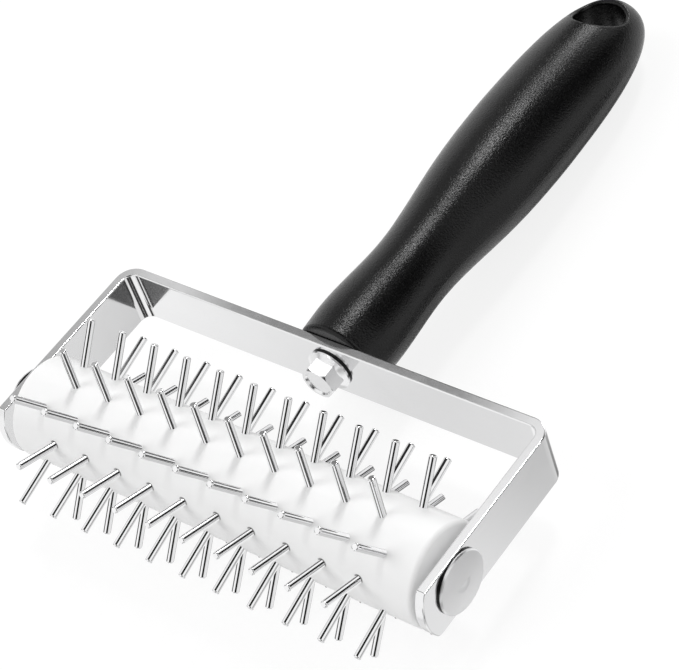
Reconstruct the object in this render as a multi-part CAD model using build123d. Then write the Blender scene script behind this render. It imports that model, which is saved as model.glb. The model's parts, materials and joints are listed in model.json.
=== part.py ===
from build123d import *
import math
import os

# Spiked roller for docking dough: a white roller set with rows of steel pins turns on an
# axle between the arms of a bent steel yoke, and a black handle is bolted to the yoke.
# Lengths are millimetres and angles are degrees.
# The pieces are built in the yoke's own plane: X along the axle, Y towards the handle's end,
# Z up. At the end the whole tool is tilted until the pins and the handle rest on a table.

# Roller, which lies a little to one side in its play between the arms
roller_length = 127.0
roller_radius = 13.5
roller_edge_round = 1.2
roller_side_gap = 1.7
roller_shift = 0.6
axle_running_clearance = 0.06

# Pins: rows of a full count take turns with rows of one pin fewer, set half a pitch over
pin_rows = 10
pins_in_full_row = 11
pin_pitch = 10.75
pin_radius = 1.0
pin_reach = 26.1
pin_depth = 6.0
pin_tip_round = 0.4
pin_seat_clearance = 0.02
first_row_angle = 22.0

# Yoke: one bent strip, its crossbar towards the handle and its arms around the roller
strip_thickness = 2.6
strip_width = 16.3
crossbar_reach = 43.4
bend_inner_radius = 2.8
arm_end_radius = 13.5
arm_upper_corner_round = 0.8
arm_lower_corner_round = 2.0
strip_edge_round = 0.35

# Axle, riveted over at its far end
axle_radius = 3.0
axle_hole_clearance = 0.05
axle_head_radius = 8.2
axle_head_edge = 0.6
axle_head_crown = 0.3
axle_head_bevel = 0.3
axle_washer_radius = 8.0
axle_washer_thickness = 0.5
axle_end_radius = 2.5
axle_end_bevel = 0.2

# Flanged bolt and its washer
bolt_radius = 3.0
bolt_hole_clearance = 0.2
bolt_reach_in_insert = 17.0
bolt_end_bevel = 0.6
bolt_head_height = 5.4
bolt_across_flats = 8.8
bolt_corner_bevel = 0.55
bolt_turn = 10.0
bolt_flange_radius = 6.2
bolt_flange_edge = 0.5
bolt_flange_rise = 1.0
bolt_dish_radius = 3.8
bolt_dish_depth = 0.45
bolt_washer_radius = 6.0
bolt_washer_thickness = 0.5

# Threaded insert moulded into the handle
insert_radius = 5.0
insert_length = 22.0
insert_bore_clearance = 0.02

# Handle: a round grip that thins a little towards its end, around the hanging hole.
# Its stations are distances from the base, which sits on the crossbar.
handle_length = 138.0
base_radius = 11.7
base_round = 1.1
collar_radius = 12.1
collar_at = 9.5
neck_radius = 10.9
neck_at = 33.5
shoulder_radius = 12.5
shoulder_at = 52.0
belly_radius = 14.6
belly_at = 87.0
end_thinning_share = 0.14
nose_power = 2.9
body_sections = 14
nose_sections = 12
nose_tip_share = 0.999
hanging_hole_radius = 6.9
hanging_hole_from_end = 11.3
hanging_hole_round = 0.9

# A cut runs this far past the faces that it goes through
overrun = 1.0

full_turn = 360.0
quarter_turn = full_turn / 4
steepest_tilt = quarter_turn / 2
tilt_tolerance = 0.001

yoke_inner_width = roller_length + 2 * roller_side_gap
yoke_width = yoke_inner_width + 2 * strip_thickness
crossbar_inner = crossbar_reach - strip_thickness
arm_outer = yoke_width / 2
washer_face = arm_outer + axle_washer_thickness
head_face = washer_face + axle_head_edge + axle_head_crown
bolt_seat = crossbar_inner - bolt_washer_thickness
bolt_head_end = bolt_seat - bolt_head_height
hanging_hole_at = handle_length - hanging_hole_from_end


def across(at):
    """Plane square to the axle."""
    return Plane(origin=(at, 0, 0), x_dir=(0, 1, 0), z_dir=(1, 0, 0))


def along(at):
    """Plane square to the handle."""
    return Plane(origin=(0, at, 0), x_dir=(1, 0, 0), z_dir=(0, 1, 0))


def axle_disc(radius, start, end):
    return extrude(across(start) * Circle(radius), end - start)


def handle_disc(radius, start, end):
    return extrude(along(start) * Circle(radius), end - start)


def row_angle(row):
    return first_row_angle + row * full_turn / pin_rows


def row_places(row):
    """Places of one row's pins along the axle."""
    count = pins_in_full_row - 1 + row % 2
    return [roller_shift + (i - (count - 1) / 2) * pin_pitch for i in range(count)]


def pin_frame(row, place):
    """Location whose Z runs out along the pin, with its origin on the axle."""
    return Pos(place, 0, 0) * Rot(quarter_turn - row_angle(row), 0, 0)


def pin():
    body = extrude(Plane.XY.offset(roller_radius - pin_depth) * Circle(pin_radius),
                   pin_reach - roller_radius + pin_depth)
    return fillet(body.edges().sort_by(Axis.Z)[-1], pin_tip_round)


def pin_row(row):
    return Compound([pin_frame(row, place) * pin() for place in row_places(row)])


def roller_core():
    near_end, far_end = roller_shift + roller_length / 2, roller_shift - roller_length / 2
    core = axle_disc(roller_radius, far_end, near_end)
    core = fillet(core.edges().filter_by(GeomType.CIRCLE), roller_edge_round)
    seat = extrude(Plane.XY.offset(roller_radius - pin_depth)
                   * Circle(pin_radius + pin_seat_clearance), pin_depth + overrun)
    seats = [pin_frame(row, place) * seat
             for row in range(pin_rows) for place in row_places(row)]
    bore = axle_disc(axle_radius + axle_running_clearance,
                     far_end - overrun, near_end + overrun)
    return core - seats - bore


def yoke():
    outer_radius = bend_inner_radius + strip_thickness
    tail = arm_end_radius
    outer = Pos(0, (crossbar_reach - tail) / 2) * Rectangle(yoke_width, crossbar_reach + tail)
    outer = fillet(outer.vertices().sort_by(Axis.Y)[-2:], outer_radius)
    inner = Pos(0, (crossbar_inner - tail - overrun) / 2) * Rectangle(
        yoke_inner_width, crossbar_inner + tail + overrun)
    inner = fillet(inner.vertices().sort_by(Axis.Y)[-2:], bend_inner_radius)
    strip = extrude(outer - inner, strip_width / 2, both=True)

    arm_side = Pos(crossbar_reach / 2, 0) * Rectangle(crossbar_reach, strip_width)
    rounded_end = Circle(arm_end_radius) & Pos(-arm_end_radius / 2, 0) * Rectangle(
        arm_end_radius, strip_width)
    arm_side = arm_side + rounded_end
    lower_corner = arm_side.vertices().group_by(Axis.Y)[0].sort_by(Axis.X)[0]
    arm_side = fillet(lower_corner, arm_lower_corner_round)
    upper_corner = arm_side.vertices().group_by(Axis.Y)[-1].sort_by(Axis.X)[0]
    arm_side = fillet(upper_corner, arm_upper_corner_round)
    strip = strip & extrude(across(0) * arm_side, yoke_width, both=True)

    strip = fillet(strip.edges(), strip_edge_round)
    axle_holes = axle_disc(axle_radius + axle_hole_clearance,
                           -arm_outer - overrun, arm_outer + overrun)
    bolt_hole = handle_disc(bolt_radius + bolt_hole_clearance,
                            crossbar_inner - overrun, crossbar_reach + overrun)
    return strip - axle_holes - bolt_hole


def axle_head():
    """Low domed head on the near side, its rim turned off."""
    rim_face = washer_face + axle_head_edge
    flat_radius = axle_head_radius - axle_head_bevel
    dome_radius = (flat_radius ** 2 + axle_head_crown ** 2) / (2 * axle_head_crown)
    half_way = math.asin(flat_radius / dome_radius) / 2
    middle = (head_face - dome_radius * (1 - math.cos(half_way)),
              dome_radius * math.sin(half_way))
    edge = Polyline((head_face, 0), (washer_face, 0), (washer_face, axle_head_radius),
                    (rim_face - axle_head_bevel, axle_head_radius), (rim_face, flat_radius))
    dome = ThreePointArc((rim_face, flat_radius), middle, (head_face, 0))
    return revolve(make_face(edge + dome), Axis.X)


def axle():
    rod = axle_disc(axle_radius, -washer_face, washer_face)
    end = axle_disc(axle_end_radius, -head_face, -washer_face)
    end = chamfer(end.faces().sort_by(Axis.X)[0].edges(), axle_end_bevel)
    return rod + end + axle_head()


def axle_cap():
    """Rivet plate that the axle's far end is spread over."""
    plate = axle_head().mirror(Plane.YZ)
    return plate - axle_disc(axle_end_radius, -head_face - overrun, -washer_face + overrun)


def axle_washer(side):
    ring = axle_disc(axle_washer_radius, arm_outer, washer_face)
    ring = ring - axle_disc(axle_radius + axle_hole_clearance,
                            arm_outer - overrun, washer_face + overrun)
    return ring if side > 0 else ring.mirror(Plane.YZ)


def bolt_washer():
    ring = handle_disc(bolt_washer_radius, bolt_seat, crossbar_inner)
    return ring - handle_disc(bolt_radius + bolt_hole_clearance,
                              bolt_seat - overrun, crossbar_inner + overrun)


def bolt_head():
    """Hexagon on a sloping flange, its end dished and its corners turned off."""
    cone_top = bolt_seat - bolt_flange_edge - bolt_flange_rise
    rim = handle_disc(bolt_flange_radius, bolt_seat - bolt_flange_edge, bolt_seat)
    slope = loft([along(cone_top) * Circle(bolt_across_flats / 2),
                  along(bolt_seat - bolt_flange_edge) * Circle(bolt_flange_radius)])
    hexagon = Rot(0, 0, bolt_turn) * RegularPolygon(
        bolt_across_flats / 2, 6, major_radius=False)
    hexagon = extrude(along(bolt_head_end) * hexagon, bolt_head_height)
    corner_radius = bolt_across_flats / math.sqrt(3)
    turned = handle_disc(corner_radius, bolt_head_end, bolt_seat)
    turned = chamfer(turned.faces().sort_by(Axis.Y)[0].edges(), bolt_corner_bevel)
    dish = loft([along(bolt_head_end) * Circle(bolt_dish_radius),
                 along(bolt_head_end + bolt_dish_depth)
                 * Circle(bolt_dish_radius - bolt_dish_depth)])
    return rim + slope + (hexagon & turned) - dish


def bolt():
    tip = crossbar_reach + bolt_reach_in_insert
    shank = handle_disc(bolt_radius, bolt_seat, tip)
    shank = chamfer(shank.faces().sort_by(Axis.Y)[-1].edges(), bolt_end_bevel)
    return bolt_head() + shank


def handle_insert():
    sleeve = handle_disc(insert_radius, crossbar_reach, crossbar_reach + insert_length)
    return sleeve - handle_disc(bolt_radius + insert_bore_clearance,
                                crossbar_reach - overrun,
                                crossbar_reach + insert_length + overrun)


def end_depth_share(reach):
    """How thick the handle is for its width, at a distance from its base."""
    past_belly = max(0.0, (reach - belly_at) / (handle_length - belly_at))
    return 1 - end_thinning_share * past_belly


def handle_outline():
    """Distance from the base and half width of each section, from base to nose."""
    grip = Spline((0, base_radius), (collar_at, collar_radius), (neck_at, neck_radius),
                  (shoulder_at, shoulder_radius), (belly_at, belly_radius),
                  tangents=[(collar_at, collar_radius - base_radius), (1, 0)])
    stations = [grip @ (i / body_sections) for i in range(body_sections + 1)]
    outline = [(point.X, point.Y) for point in stations]
    for i in range(1, nose_sections + 1):
        share = nose_tip_share * math.sin(math.radians(quarter_turn) * i / nose_sections)
        half_width = belly_radius * (1 - share ** nose_power) ** (1 / nose_power)
        outline.append((belly_at + share * (handle_length - belly_at), half_width))
    return outline


def handle():
    sections = [along(crossbar_reach + reach)
                * Ellipse(half_width, half_width * end_depth_share(reach))
                for reach, half_width in handle_outline()]
    grip = loft(sections)
    grip = fillet(grip.faces().sort_by(Axis.Y)[0].edges(), base_round)
    hole = Pos(0, crossbar_reach + hanging_hole_at, 0) * Cylinder(
        hanging_hole_radius, 2 * belly_radius)
    grip = grip - hole
    wall = grip.faces().filter_by(GeomType.CYLINDER)
    rims = [edge for edge in wall.edges() if edge.geom_type != GeomType.LINE]
    grip = fillet(rims, hanging_hole_round)
    return grip - handle_disc(insert_radius, crossbar_reach - overrun,
                              crossbar_reach + insert_length)


def lowest_pin(tilt):
    """Height of the lowest pin tip under the axle, with the tool tilted."""
    depths = []
    for row in range(pin_rows):
        off_vertical = math.radians(row_angle(row) + quarter_turn + tilt)
        depths.append((pin_reach - pin_tip_round) * math.cos(off_vertical)
                      + (pin_radius - pin_tip_round) * abs(math.sin(off_vertical))
                      + pin_tip_round)
    return -max(depths)


def lowest_handle(tilt):
    """Height of the handle's lowest point under the axle, with the tool tilted."""
    lean = math.radians(tilt)
    return -max((crossbar_reach + reach) * math.sin(lean)
                + half_width * end_depth_share(reach) * math.cos(lean)
                for reach, half_width in handle_outline())


def resting_tilt():
    """Angle by which the handle's end droops when pins and handle touch a table."""
    low, high = 0.0, steepest_tilt
    while high - low > tilt_tolerance:
        middle = (low + high) / 2
        if lowest_handle(middle) > lowest_pin(middle):
            low = middle
        else:
            high = middle
    return low


def all_nodes():
    nodes = {
        "yoke": yoke(),
        "axle": axle(),
        "axle_cap": axle_cap(),
        "axle_washer_right": axle_washer(1),
        "axle_washer_left": axle_washer(-1),
        "handle_bolt": bolt(),
        "bolt_washer": bolt_washer(),
        "handle_insert": handle_insert(),
        "handle": handle(),
        "roller_core": roller_core(),
    }
    for row in range(pin_rows):
        nodes[f"pins_row_{row + 1:02d}"] = pin_row(row)
    return nodes


def main():
    os.makedirs("parts", exist_ok=True)
    tilt = resting_tilt()
    tilted = {name: Rot(-tilt, 0, 0) * shape for name, shape in all_nodes().items()}
    box = Compound(list(tilted.values())).bounding_box()
    rest = Pos(0, -(box.min.Y + box.max.Y) / 2, -box.min.Z)
    for name, shape in tilted.items():
        export_step(rest * shape, f"parts/{name}.step")
    print("tilt", round(tilt, 4))
    print("axle at", [round(v, 4) for v in rest.position])
    hole = rest * Rot(-tilt, 0, 0) * Pos(0, crossbar_reach + hanging_hole_at, 0)
    print("hanging hole at", [round(v, 4) for v in hole.position])
    print("size", [round(v, 3) for v in box.size])


if __name__ == "__main__":
    main()
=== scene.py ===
import bpy
import json
import math
from mathutils import Matrix, Vector

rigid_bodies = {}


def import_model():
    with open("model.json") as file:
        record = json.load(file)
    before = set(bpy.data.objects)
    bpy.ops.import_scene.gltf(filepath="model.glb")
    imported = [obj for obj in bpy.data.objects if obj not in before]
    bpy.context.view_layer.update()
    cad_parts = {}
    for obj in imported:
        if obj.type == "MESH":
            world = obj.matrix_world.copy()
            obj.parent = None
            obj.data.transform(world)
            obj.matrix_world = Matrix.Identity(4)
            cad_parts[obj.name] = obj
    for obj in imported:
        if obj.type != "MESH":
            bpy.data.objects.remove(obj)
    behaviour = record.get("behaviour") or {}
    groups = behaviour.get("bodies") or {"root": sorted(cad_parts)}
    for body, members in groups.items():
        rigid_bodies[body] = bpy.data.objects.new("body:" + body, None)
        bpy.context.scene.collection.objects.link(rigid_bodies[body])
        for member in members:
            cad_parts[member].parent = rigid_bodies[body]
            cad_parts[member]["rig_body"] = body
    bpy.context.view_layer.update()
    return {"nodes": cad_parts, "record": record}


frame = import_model()
scene = bpy.context.scene
nodes = frame["nodes"]

# Camera, fitted to the photograph's pin tips and yoke edges, in the model's own frame
CAMERA_AT = Vector((0.352783, -0.274346, 0.498972))
RIGHT = Vector((0.77963, 0.55064, -0.29829))
DOWN = Vector((0.29278, -0.74155, -0.60364))
FORWARD = Vector((-0.55358, 0.38329, -0.73935))
LENS = 135.506
SENSOR = 36.0
NEAREST_SEEN = 0.01

# Light: the world's even share, and each lamp's share, direction and width in degrees
EVEN_LIGHT = 0.56
LAMPS = {
    "key": (0.25, Vector((-0.06, 0.50, 0.86)), 10.0),
    "fill": (0.33, Vector((-0.48, -0.45, 0.75)), 40.0),
    "side": (0.03, Vector((0.85, 0.30, 0.42)), 30.0),
    "rim": (0.13, Vector((-0.22, 0.83, 0.51)), 14.0),
}
UNSEEN_IN_GLOSS = ("side", "fill")

# Floor: what the camera sees of it, and the share of the light that it gives back
FLOOR_HALF_WIDTH = 6.0
FLOOR_GLOW = 0.83
FLOOR_COLOUR = 0.19
FLOOR_BOUNCE = 0.88

# Roller: its axle's place, its radius and the layout of its pins, for the shade painted at the
# feet of the front row's pins
AXLE_Y = -0.0775009
AXLE_Z = 0.0258925
ROLLER_RADIUS = 0.0135
FIRST_ROW_ANGLE = math.radians(22.0 + 4.7523)
ROWS = 10
PIN_PITCH = 0.01075
PIN_RADIUS = 0.001
ROLLER_SHIFT = 0.0006

# Painted shade at the pins' feet: how far from the pin's middle it is dark and ends, how it leans
# to one side, over what height it fades in, how dark it is, and how far from the roller's middle
# it is drawn
PIN_SHADE_DARK_TO = PIN_RADIUS + 0.0001
PIN_SHADE_ENDS_AT = PIN_RADIUS + 0.00055
PIN_SHADE_LEAN = 0.5
PIN_SHADE_FADE = 0.0006
PIN_SHADE_DARKNESS = 0.95
PIN_SHADE_REACH = 5 * PIN_PITCH
SAME_ROW = 0.1

# Finishes made in one way, by slot. The tone follows a cloudy texture. The roughness and the
# bumps follow a finer grain, or the same clouds where there is none. A texture's scale is along
# x, y and z, and bumps are their height in metres and their strength.
FINISHES = {
    "satin_steel": {
        "name": "axle_satin_steel", "metallic": 1.0,
        "tones": ((0.88, 0.88, 0.885), (0.93, 0.93, 0.935)), "roughness": (0.31, 0.37),
        "cloud": {"scale": (90, 90, 90), "detail": 2.0},
        "grain": {"scale": (400, 1800, 1800), "detail": 4.0},
        "bumps": (0.000002, 0.2)},
    "bolt_steel": {
        "name": "bolt_bright_zinc", "metallic": 1.0,
        "tones": ((0.86, 0.86, 0.865), (0.91, 0.91, 0.915)), "roughness": (0.16, 0.24),
        "cloud": {"scale": (300, 300, 300)},
        "bumps": (0.00001, 0.4)},
    "pin_steel": {
        "name": "pin_polished_steel", "metallic": 1.0,
        "tones": ((0.88, 0.88, 0.885), (0.93, 0.93, 0.935)), "roughness": (0.03, 0.05),
        "cloud": {"scale": (400, 400, 400)}},
    "insert_brass": {
        "name": "insert_turned_brass", "metallic": 1.0,
        "tones": ((0.66, 0.49, 0.22), (0.76, 0.60, 0.30)), "roughness": (0.22, 0.34),
        "cloud": {"scale": (300, 1500, 300)}},
    "black_plastic": {
        "name": "grip_black_plastic", "specular": 0.33,
        "tones": ((0.0016, 0.0016, 0.0017), (0.0028, 0.0028, 0.0029)), "roughness": (0.15, 0.31),
        "cloud": {"scale": (70, 70, 70)},
        "grain": {"scale": (2100, 2100, 2100), "detail": 2.0, "rough": 0.6},
        "bumps": (0.00009, 1.0)},
    # Washers under the axle heads and the bolt flange: near black, as painted shade standing in
    # for the shadowed gaps under them
    "black_nylon": {
        "name": "washer_near_black_gap_shade", "specular": 0.25,
        "tones": ((0.0040, 0.0040, 0.0042), (0.0080, 0.0080, 0.0082)), "roughness": (0.30, 0.40),
        "cloud": {"scale": (400, 400, 400)},
        "bumps": (0.00002, 0.4)},
}

# The yoke's finish: faint draw lines along the strip, over a soft haze
YOKE_TONES = ((0.86, 0.86, 0.865), (0.90, 0.90, 0.905))
YOKE_ROUGHNESS = (0.08, 0.12)
YOKE_LINES = {"scale": (500, 500, 5000), "detail": 2.0}
YOKE_HAZE = {"scale": (60, 60, 60)}
YOKE_LINES_SHARE = 0.6
YOKE_TEXTURE_RANGE = (0.5, 1.1)
YOKE_BUMPS = (0.000001, 0.3)

# The roller's finish: smooth white with a light cloud and a fine grain, plus painted shade at the
# front row's pin feet
ROLLER_TONES = ((0.885, 0.885, 0.885), (0.915, 0.915, 0.915))
ROLLER_ROUGHNESS = (0.36, 0.44)
ROLLER_CLOUD = {"scale": (40, 90, 90)}
ROLLER_GRAIN = {"scale": (1500, 1500, 1500), "detail": 2.0}
ROLLER_BUMPS = (0.00002, 0.3)

# What gloss sees, by the direction that it looks in. Each half begins as grey stops over x, and
# cards are laid on it in this order. Where all its bounds hold, a dim card takes a share of the
# light away and a lit card brings the light to a level. A bound is an axis with the start and
# the end of a soft step up, or with the two ends of a band and its softness. The axes are x, y
# and z, front for -y and down for -z. The halves meet at the horizon.
DIM = "dim"
LIT = "lit"
BEHIND = ("y", 0.33, 0.38)
BEFORE = ("front", 0.33, 0.40)
HORIZON = ("z", -0.02, 0.02)
ABOVE_STOPS = (
    (-1.0, 0.80), (-0.78, 0.85), (-0.73, 0.90), (-0.50, 1.0), (0.30, 1.0), (0.90, 0.95),
    (1.0, 0.80))
ABOVE_CARDS = (
    (LIT, 1.0, ("y", 0.30, 0.34), ("x", -1.1, -0.80, 0.01)),
    (LIT, 0.95, ("y", -0.25, 0.075, 0.012), ("x", -1.1, -0.45, 0.01)),
    (DIM, 0.735, BEHIND, ("x", -0.598, -0.508, 0.012), ("z", 0.0, 0.704, 0.006)),
    (DIM, 0.735, BEHIND, ("x", -0.512, -0.494, 0.006), ("y", 0.497, 0.509)),
    (DIM, 0.54, BEHIND, ("x", -0.76, -0.618, 0.005), ("z", 0.40, 0.50)),
    (DIM, 0.98, BEHIND, ("x", 0.30, 0.80, 0.03)),
    (DIM, 0.98, BEFORE, ("x", 0.20, 0.85, 0.03)),
    (DIM, 0.15, BEFORE, ("x", 0.86, 0.90)),
    (DIM, 0.95, BEHIND, ("x", 0.78, 0.84), ("z", 0.10, 0.20)),
    (DIM, 0.80, BEHIND, ("x", -0.44, 0.36, 0.03), ("z", 0.55, 0.65)),
    (DIM, 0.92, ("y", 0.70, 0.76), ("x", -0.80, -0.36, 0.02)),
    (DIM, 0.90, ("front", 0.48, 0.56), ("x", -1.1, -0.58, 0.03)),
    (DIM, 0.90, ("front", 0.24, 0.30), ("x", -1.1, -0.80, 0.03), ("z", -0.1, 0.30, 0.05)),
    (DIM, 0.14, BEHIND, ("x", -0.55, -0.494, 0.01), ("z", 0.0, 0.704, 0.006)),
    (DIM, 0.98, ("y", -0.30, 0.045, 0.012), ("x", -0.38, 0.52, 0.03), ("z", 0.72, 0.78)),
    (DIM, 0.98, ("y", 0.045, 0.27, 0.012), ("x", -0.45, 0.30, 0.02), ("z", 0.72, 0.78)),
    (DIM, 0.98, ("y", 0.075, 0.27, 0.012), ("x", -0.86, -0.45, 0.02), ("z", 0.45, 0.55)),
    # Over the dim cards: the white line on the strip's inner edge, and a facet of the bolt
    (LIT, 1.0, ("front", 0.30, 0.36), ("x", -0.66, -0.45, 0.01)),
    (LIT, 1.0, ("y", 0.41, 0.60, 0.02), ("x", -0.36, -0.19, 0.02), ("z", 0.72, 0.76)),
)
BELOW_STOPS = (
    (-1.0, 0.80), (-0.88, 0.85), (-0.82, 0.95), (-0.62, 1.0), (-0.585, 0.91), (-0.55, 0.83),
    (-0.52, 0.78), (-0.48, 0.82), (-0.44, 1.0), (0.20, 1.0), (0.42, 0.90), (0.50, 0.88),
    (0.56, 0.84), (0.62, 0.83), (0.68, 0.80), (0.72, 0.66), (0.86, 0.70), (0.93, 0.85),
    (1.0, 0.85))
BELOW_CARDS = (
    (LIT, 1.0, ("y", 0.64, 0.70), ("x", 0.14, 0.50, 0.02)),
    (LIT, 1.0, ("y", 0.46, 0.76, 0.02), ("x", 0.765, 0.785), ("z", -0.50, -0.40)),
    (LIT, 1.0, ("y", 0.30, 0.34), ("x", -1.1, -0.78, 0.01)),
    (LIT, 0.85, ("y", -0.20, 0.24, 0.02), ("x", 0.60, 0.66)),
    (LIT, 1.0, ("front", 0.58, 0.64), ("x", -0.66, -0.465, 0.01)),
    (DIM, 0.95, ("front", 0.49, 0.51), ("x", 0.36, 0.76, 0.015)),
    (DIM, 0.95, ("front", 0.22, 0.50, 0.02), ("x", 0.580, 0.612), ("x", 0.0, 0.77, 0.02)),
    (DIM, 0.97, ("y", 0.375, 0.43, 0.012), ("x", 0.515, 0.71, 0.008), ("z", -0.75, -0.73)),
    (DIM, 0.97, ("y", 0.43, 0.68, 0.012), ("x", 0.470, 0.71, 0.012), ("z", -0.75, -0.73)),
    (DIM, 0.97, ("y", 0.66, 0.84, 0.02), ("x", 0.60, 0.765, 0.015)),
    (DIM, 0.97, ("y", 0.16, 0.375, 0.012), ("x", 0.530, 0.603, 0.006), ("z", -0.84, -0.82)),
    (DIM, 0.34, ("y", 0.33, 0.395), ("x", 0.44, 0.515, 0.008), ("down", 0.73, 0.75)),
    (DIM, 0.30, ("y", 0.40, 0.80, 0.03), ("x", 0.05, 0.44, 0.02), ("down", 0.66, 0.70)),
    (DIM, 0.85, ("y", 0.38, 0.62, 0.03), ("x", -0.35, 0.10, 0.03), ("down", 0.76, 0.82)),
    (DIM, 0.60, ("y", 0.10, 0.26, 0.015), ("x", 0.86, 0.89)),
    (DIM, 0.95, ("front", 0.56, 0.59), ("x", -0.465, -0.15, 0.02), ("down", 0.50, 0.54)),
    (DIM, 0.95, ("front", 0.84, 0.88), ("x", -0.47, 0.12, 0.02), ("down", 0.20, 0.46, 0.02)),
    (DIM, 0.90, ("y", 0.50, 0.56), ("x", -0.80, -0.45, 0.02)),
    (DIM, 0.90, ("front", 0.24, 0.30), ("x", -1.1, -0.86, 0.03), ("down", 0.0, 0.20, 0.03)),
    (DIM, 0.35, ("y", -0.28, 0.18, 0.03), ("down", 0.84, 0.90)),
    # Over the dim cards: light for the yoke's flat faces as they are seen from other sides
    (LIT, 0.75, ("y", 0.54, 0.80, 0.02), ("x", 0.58, 0.70, 0.015), ("down", 0.24, 0.48, 0.02)),
    (LIT, 0.80, ("y", 0.49, 0.53), ("x", -0.84, -0.53, 0.015), ("z", -0.64, -0.60)),
    (LIT, 0.80, ("front", 0.40, 0.44), ("x", 0.70, 0.90, 0.02), ("z", -0.52, -0.48)),
    (LIT, 0.80, ("front", 0.50, 0.54), ("x", 0.34, 0.72, 0.02), ("z", -0.50, -0.46)),
)


def link(obj):
    scene.collection.objects.link(obj)
    return obj


def material(name):
    mat = bpy.data.materials.new(name)
    mat.use_nodes = True
    tree = mat.node_tree
    shader = tree.nodes["Principled BSDF"]
    return mat, tree, shader


def math_node(tree, operation, first, second=None, third=None):
    made = tree.nodes.new("ShaderNodeMath")
    made.operation = operation
    for slot, value in enumerate((first, second, third)):
        if value is None:
            continue
        if isinstance(value, (int, float)):
            made.inputs[slot].default_value = value
        else:
            tree.links.new(value, made.inputs[slot])
    return made.outputs[0]


def times(tree, *factors):
    product = factors[0]
    for other in factors[1:]:
        product = math_node(tree, "MULTIPLY", product, other)
    return product


def axes_of(tree, socket):
    """The x, y and z of one kind of texture coordinates."""
    coords = tree.nodes.new("ShaderNodeTexCoord")
    parts = tree.nodes.new("ShaderNodeSeparateXYZ")
    tree.links.new(coords.outputs[socket], parts.inputs[0])
    return (parts.outputs[name] for name in "XYZ")


def mapped(tree, scale):
    """Object coordinates in metres, stretched by scale along each axis."""
    coords = tree.nodes.new("ShaderNodeTexCoord")
    mapping = tree.nodes.new("ShaderNodeMapping")
    mapping.inputs["Scale"].default_value = scale
    tree.links.new(coords.outputs["Object"], mapping.inputs["Vector"])
    return mapping.outputs["Vector"]


def noise(tree, scale, detail=3.0, rough=0.55):
    made = tree.nodes.new("ShaderNodeTexNoise")
    made.inputs["Scale"].default_value = 1.0
    made.inputs["Detail"].default_value = detail
    made.inputs["Roughness"].default_value = rough
    tree.links.new(mapped(tree, scale), made.inputs["Vector"])
    return made.outputs["Fac"]


def spread(tree, source, low, high, start=0.3, end=0.7):
    """Map a texture's middle range onto low to high."""
    made = tree.nodes.new("ShaderNodeMapRange")
    made.inputs["From Min"].default_value = start
    made.inputs["From Max"].default_value = end
    made.inputs["To Min"].default_value = low
    made.inputs["To Max"].default_value = high
    tree.links.new(source, made.inputs["Value"])
    return made.outputs["Result"]


def tone_mix(tree, source, low, high):
    """Colour between two tones by a texture."""
    made = tree.nodes.new("ShaderNodeMix")
    made.data_type = "RGBA"
    made.inputs["A"].default_value = (*low, 1.0)
    made.inputs["B"].default_value = (*high, 1.0)
    tree.links.new(source, made.inputs["Factor"])
    return made.outputs["Result"]


def bump(tree, shader, height, distance, strength):
    made = tree.nodes.new("ShaderNodeBump")
    made.inputs["Distance"].default_value = distance
    made.inputs["Strength"].default_value = strength
    tree.links.new(height, made.inputs["Height"])
    tree.links.new(made.outputs["Normal"], shader.inputs["Normal"])


def rise(tree, source, start, end):
    """Smooth step from 0 to 1 between start and end."""
    made = tree.nodes.new("ShaderNodeMapRange")
    made.interpolation_type = "SMOOTHSTEP"
    made.inputs["From Min"].default_value = start
    made.inputs["From Max"].default_value = end
    tree.links.new(source, made.inputs["Value"])
    return made.outputs["Result"]


def band(tree, source, low, high, soft):
    """Mask that is 1 where the source lies between low and high."""
    up = rise(tree, source, low - soft, low + soft)
    down = rise(tree, source, high - soft, high + soft)
    return math_node(tree, "SUBTRACT", up, down)


def darken(tree, value, mask, share):
    """Take a share of the value away where the mask is 1."""
    return times(tree, value, math_node(tree, "MULTIPLY_ADD", mask, -share, 1.0))


def lighten(tree, value, mask, level):
    """Bring the value to a level where the mask is 1."""
    kept = times(tree, value, math_node(tree, "SUBTRACT", 1.0, mask))
    return math_node(tree, "ADD", kept, times(tree, mask, level))


def clouded(name, tones, roughness, cloud, grain=None, bumps=None, metallic=0.0, specular=None):
    """A finish from the table: clouds in its tone, grain in its roughness and bumps."""
    mat, tree, shader = material(name)
    clouds = noise(tree, **cloud)
    fine = noise(tree, **grain) if grain else clouds
    shader.inputs["Metallic"].default_value = metallic
    if specular is not None:
        shader.inputs["Specular IOR Level"].default_value = specular
    tree.links.new(tone_mix(tree, spread(tree, clouds, 0.0, 1.0), *tones),
                   shader.inputs["Base Color"])
    tree.links.new(spread(tree, fine, *roughness), shader.inputs["Roughness"])
    if bumps:
        bump(tree, shader, fine, *bumps)
    return mat


def polished_steel():
    """Drawn strip with a mirror polish: faint long draw lines and a soft haze."""
    mat, tree, shader = material("yoke_polished_steel")
    lines = noise(tree, **YOKE_LINES)
    haze = noise(tree, **YOKE_HAZE)
    texture = math_node(tree, "MULTIPLY_ADD", lines, YOKE_LINES_SHARE, haze)
    shader.inputs["Metallic"].default_value = 1.0
    tone = spread(tree, texture, 0.0, 1.0, *YOKE_TEXTURE_RANGE)
    tree.links.new(tone_mix(tree, tone, *YOKE_TONES), shader.inputs["Base Color"])
    tree.links.new(spread(tree, texture, *YOKE_ROUGHNESS, *YOKE_TEXTURE_RANGE),
                   shader.inputs["Roughness"])
    bump(tree, shader, lines, *YOKE_BUMPS)
    return mat


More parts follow.
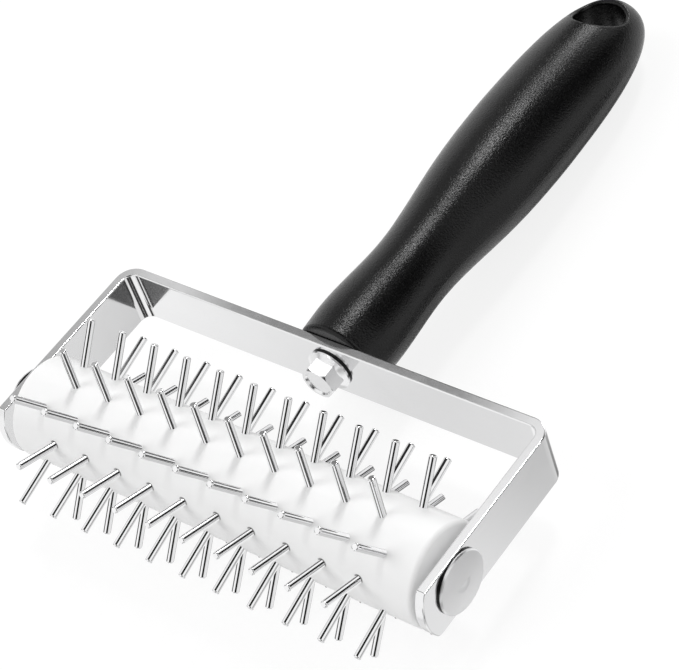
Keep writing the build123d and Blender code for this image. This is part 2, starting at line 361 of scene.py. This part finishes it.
def pin_feet_painted_shade(tree):
    """Painted shade: 1 in a thin crescent along the upper side of the front row's pin feet, where
    shade falls in the gap, else 0.
    """
    x, y, z = axes_of(tree, "Object")
    angle = math_node(tree, "ARCTAN2", math_node(tree, "SUBTRACT", z, AXLE_Z),
                      math_node(tree, "SUBTRACT", AXLE_Y, y))
    row_angle = 2 * math.pi / ROWS
    turns = math_node(
        tree, "DIVIDE", math_node(tree, "SUBTRACT", angle, FIRST_ROW_ANGLE), row_angle)
    row = math_node(tree, "ROUND", turns)
    up = times(tree, math_node(tree, "SUBTRACT", turns, row), row_angle * ROLLER_RADIUS)

    # Every other row of pins lies half a pitch over
    odd = math_node(tree, "FLOORED_MODULO", row, 2.0)
    half_pitch = times(tree, math_node(tree, "SUBTRACT", 1.0, odd), 0.5)
    places = math_node(tree, "DIVIDE", math_node(tree, "SUBTRACT", x, ROLLER_SHIFT), PIN_PITCH)
    places = math_node(tree, "ADD", places, half_pitch)
    nearest = math_node(tree, "ROUND", places)
    along = times(tree, math_node(tree, "SUBTRACT", places, nearest), PIN_PITCH)

    away = math_node(tree, "SQRT", math_node(
        tree, "ADD", times(tree, along, along), times(tree, up, up)))
    ring = math_node(tree, "SUBTRACT", 1.0, rise(tree, away, PIN_SHADE_DARK_TO, PIN_SHADE_ENDS_AT))
    leaning = math_node(tree, "ADD", up, times(tree, along, PIN_SHADE_LEAN))
    upper = rise(tree, leaning, 0.0, PIN_SHADE_FADE)
    front = math_node(tree, "COMPARE", row, 0.0, SAME_ROW)
    inner = math_node(tree, "COMPARE", x, ROLLER_SHIFT, PIN_SHADE_REACH)
    return times(tree, ring, upper, front, inner)


def white_plastic():
    mat, tree, shader = material("roller_white_plastic")
    cloud = noise(tree, **ROLLER_CLOUD)
    grain = noise(tree, **ROLLER_GRAIN)
    tone = tone_mix(tree, spread(tree, cloud, 0.0, 1.0), *ROLLER_TONES)
    # The roller's tone is darkened by painted shade at the front row's pin feet
    tree.links.new(darken(tree, tone, pin_feet_painted_shade(tree), PIN_SHADE_DARKNESS),
                   shader.inputs["Base Color"])
    tree.links.new(spread(tree, cloud, *ROLLER_ROUGHNESS), shader.inputs["Roughness"])
    bump(tree, shader, grain, *ROLLER_BUMPS)
    return mat


def dress():
    """Give every CAD node its finish, by the slot name that it came in with."""
    finishes = {slot: clouded(**values) for slot, values in FINISHES.items()}
    finishes["polished_steel"] = polished_steel()
    finishes["white_plastic"] = white_plastic()
    slots = {part["node"]: part["material_slot"] for part in frame["record"]["subparts"]}
    for name, obj in nodes.items():
        obj.material_slots[0].material = finishes[slots[name]]
        if obj["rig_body"] == "roller":
            obj.visible_glossy = False


def grey(level):
    return (level, level, level, 1.0)


def diffuse(tree, level):
    made = tree.nodes.new("ShaderNodeBsdfDiffuse")
    made.inputs["Color"].default_value = grey(level)
    return made.outputs[0]


def mixed(tree, factor, first, second):
    made = tree.nodes.new("ShaderNodeMixShader")
    tree.links.new(factor, made.inputs[0])
    tree.links.new(first, made.inputs[1])
    tree.links.new(second, made.inputs[2])
    return made.outputs[0]


def floor():
    """Pale floor that looks white where it is lit and keeps the tool's soft shadow."""
    mesh = bpy.data.meshes.new("floor")
    half = FLOOR_HALF_WIDTH
    mesh.from_pydata([(-half, -half, 0), (half, -half, 0), (half, half, 0), (-half, half, 0)],
                     [], [(0, 1, 2, 3)])
    obj = link(bpy.data.objects.new("floor", mesh))
    mat = bpy.data.materials.new("floor_pale")
    mat.use_nodes = True
    tree = mat.node_tree
    tree.nodes.clear()
    path = tree.nodes.new("ShaderNodeLightPath")
    seen = math_node(tree, "MAXIMUM", path.outputs["Is Camera Ray"], path.outputs["Is Glossy Ray"])
    seen = math_node(tree, "MAXIMUM", seen, path.outputs["Is Transmission Ray"])
    glow = tree.nodes.new("ShaderNodeEmission")
    glow.inputs["Strength"].default_value = FLOOR_GLOW
    shown = tree.nodes.new("ShaderNodeAddShader")
    tree.links.new(diffuse(tree, FLOOR_COLOUR), shown.inputs[0])
    tree.links.new(glow.outputs[0], shown.inputs[1])
    out = tree.nodes.new("ShaderNodeOutputMaterial")
    tree.links.new(mixed(tree, seen, diffuse(tree, FLOOR_BOUNCE), shown.outputs[0]),
                   out.inputs["Surface"])
    mesh.materials.append(mat)
    obj.visible_glossy = False


def stripes(tree, source, stops):
    """Grey ramp over directions from -1 to 1."""
    ramp = tree.nodes.new("ShaderNodeValToRGB")
    ramp.color_ramp.interpolation = "LINEAR"
    tree.links.new(math_node(tree, "MULTIPLY_ADD", source, 0.5, 0.5), ramp.inputs[0])
    elements = ramp.color_ramp.elements
    while len(elements) < len(stops):
        elements.new(0.5)
    for element, (at, value) in zip(elements, stops):
        element.position = (at + 1) / 2
        element.color = grey(value)
    return ramp.outputs[0]


def within(tree, axes, bounds):
    """Mask that is 1 where a direction keeps all the bounds."""
    masks = []
    for axis, *limits in bounds:
        shape = rise if len(limits) == 2 else band
        masks.append(shape(tree, axes[axis], *limits))
    return times(tree, *masks)


def laid(tree, axes, stops, cards):
    """One half of the surroundings: its grey stops with its cards on them."""
    value = stripes(tree, axes["x"], stops)
    for kind, amount, *bounds in cards:
        change = darken if kind == DIM else lighten
        value = change(tree, value, within(tree, axes, bounds), amount)
    return value


def surroundings(tree):
    """What gloss sees: a white ceiling and a white table, with dark cards among them."""
    x, y, z = axes_of(tree, "Generated")
    axes = {"x": x, "y": y, "z": z, "front": times(tree, y, -1.0), "down": times(tree, z, -1.0)}
    made = tree.nodes.new("ShaderNodeMix")
    made.data_type = "RGBA"
    tree.links.new(within(tree, axes, (HORIZON,)), made.inputs["Factor"])
    tree.links.new(laid(tree, axes, BELOW_STOPS, BELOW_CARDS), made.inputs["A"])
    tree.links.new(laid(tree, axes, ABOVE_STOPS, ABOVE_CARDS), made.inputs["B"])
    return made.outputs["Result"]


def background(tree, strength=1.0):
    made = tree.nodes.new("ShaderNodeBackground")
    made.inputs["Color"].default_value = grey(1.0)
    made.inputs["Strength"].default_value = strength
    return made


def studio():
    """White for the camera, an even light for the object, and the surroundings for gloss."""
    world = bpy.data.worlds.new("studio")
    scene.world = world
    world.use_nodes = True
    tree = world.node_tree
    tree.nodes.clear()
    gloss = background(tree)
    tree.links.new(surroundings(tree), gloss.inputs["Color"])
    even = background(tree, EVEN_LIGHT)
    white = background(tree)
    path = tree.nodes.new("ShaderNodeLightPath")
    light = mixed(tree, path.outputs["Is Glossy Ray"], even.outputs[0], gloss.outputs[0])
    seen = math_node(tree, "MAXIMUM", path.outputs["Is Camera Ray"],
                     path.outputs["Is Transmission Ray"])
    out = tree.nodes.new("ShaderNodeOutputWorld")
    tree.links.new(mixed(tree, seen, light, white.outputs[0]), out.inputs["Surface"])


def lamps():
    """Sun lamps whose shares and the world's even one add up to a plain light."""
    for name, (share, towards, width) in LAMPS.items():
        lamp = bpy.data.lights.new(name, "SUN")
        lamp.energy = share * math.pi
        lamp.angle = math.radians(width)
        obj = link(bpy.data.objects.new(name, lamp))
        obj.visible_glossy = name not in UNSEEN_IN_GLOSS
        obj.rotation_euler = towards.to_track_quat("Z", "Y").to_euler()


def camera():
    data = bpy.data.cameras.new("camera")
    data.lens = LENS
    data.sensor_width = SENSOR
    data.clip_start = NEAREST_SEEN
    obj = link(bpy.data.objects.new("camera", data))
    turn = Matrix((RIGHT, -DOWN, -FORWARD)).transposed().to_4x4()
    obj.matrix_world = Matrix.Translation(CAMERA_AT) @ turn
    scene.camera = obj


scene.view_settings.view_transform = "Standard"
camera()
dress()
floor()
studio()
lamps()
